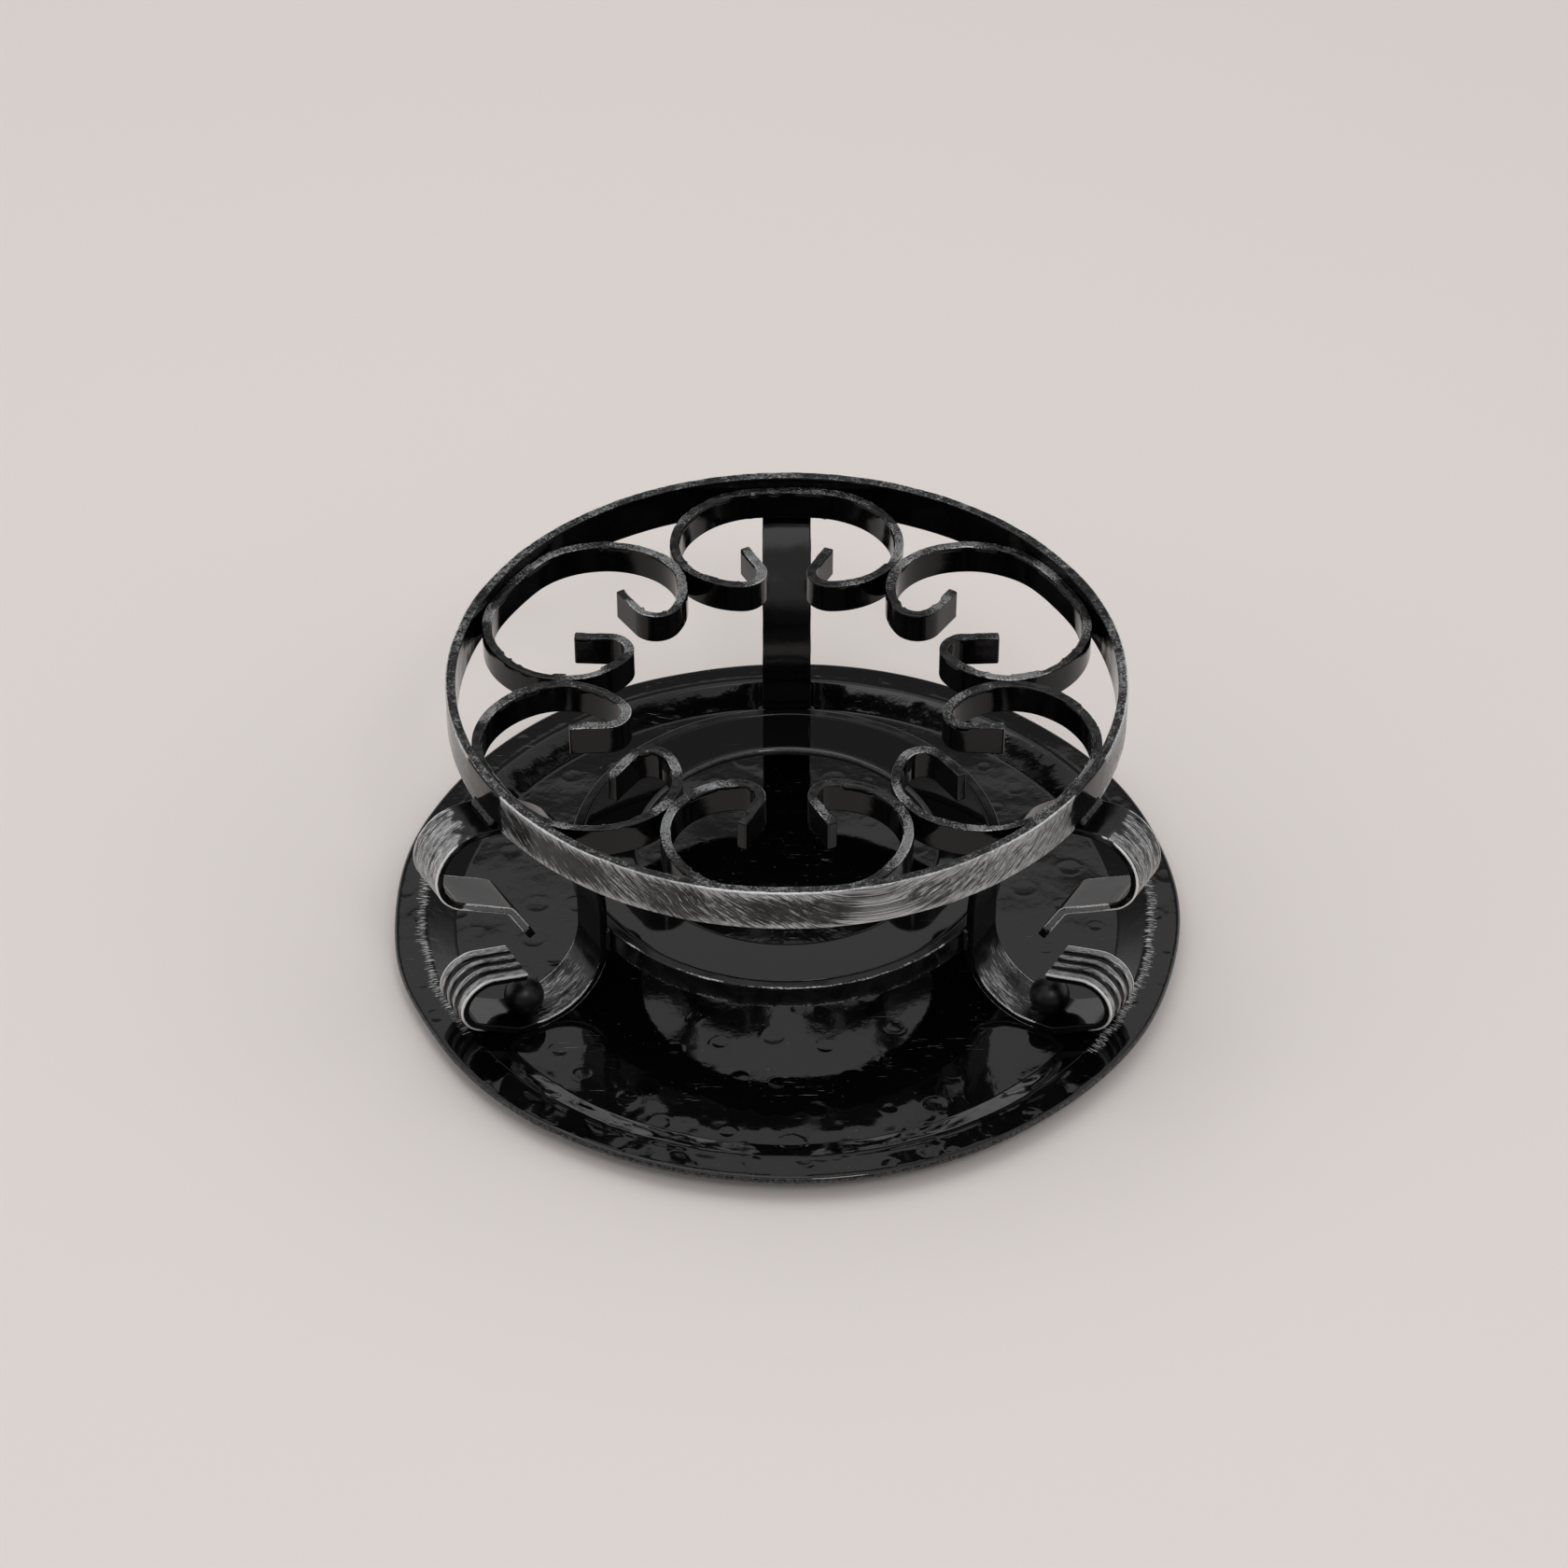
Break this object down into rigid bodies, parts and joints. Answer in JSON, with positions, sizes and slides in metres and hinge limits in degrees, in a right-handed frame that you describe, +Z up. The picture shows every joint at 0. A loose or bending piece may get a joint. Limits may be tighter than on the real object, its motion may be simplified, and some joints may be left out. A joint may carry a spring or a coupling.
{
  "type": "umbrella stand",
  "caption": "Low wrought-iron umbrella stand: scrolled top ring on bent flat-bar legs, with a smooth ring-shaped plate in a lower ring, bolted into a round hammered drip tray",
  "frame": {"origin": "on the floor, under the centre of the tray, level with the undersides of the pads", "axes": "+Z up, +Y towards the back leg, -Y towards the open front, +X to the right"},
  "size_m": [0.4, 0.4, 0.165],
  "materials": {
    "bar": "black lacquer with silver dry-brushed edges",
    "tray": "gloss black lacquer on hammered sheet",
    "plate": "smooth gloss black lacquer",
    "weld": "black lacquer over weld",
    "ball": "satin black lacquer",
    "screw": "black oxide",
    "rubber": "matt"
  },
  "bodies": {
    "root": {"tray": "tray", "plate": "plate", "top_ring": "bar", "lower_ring": "bar", "leg_back": "bar", "leg_left": "bar", "leg_right": "bar", "scroll_back": "bar", "scroll_back_left": "bar", "scroll_front_left": "bar", "scroll_front": "bar", "scroll_front_right": "bar", "scroll_back_right": "bar", "leg_ring_welds": "weld", "leg_collar_welds": "weld", "scroll_ring_welds": "weld", "scroll_joint_welds": "weld", "plate_welds": "weld", "ball_nut_back": "ball", "ball_nut_left": "ball", "ball_nut_right": "ball", "foot_screw_back": "screw", "foot_screw_left": "screw", "foot_screw_right": "screw", "pad_front": "rubber", "pad_left": "rubber", "pad_right": "rubber"}
  },
  "joints": []
}
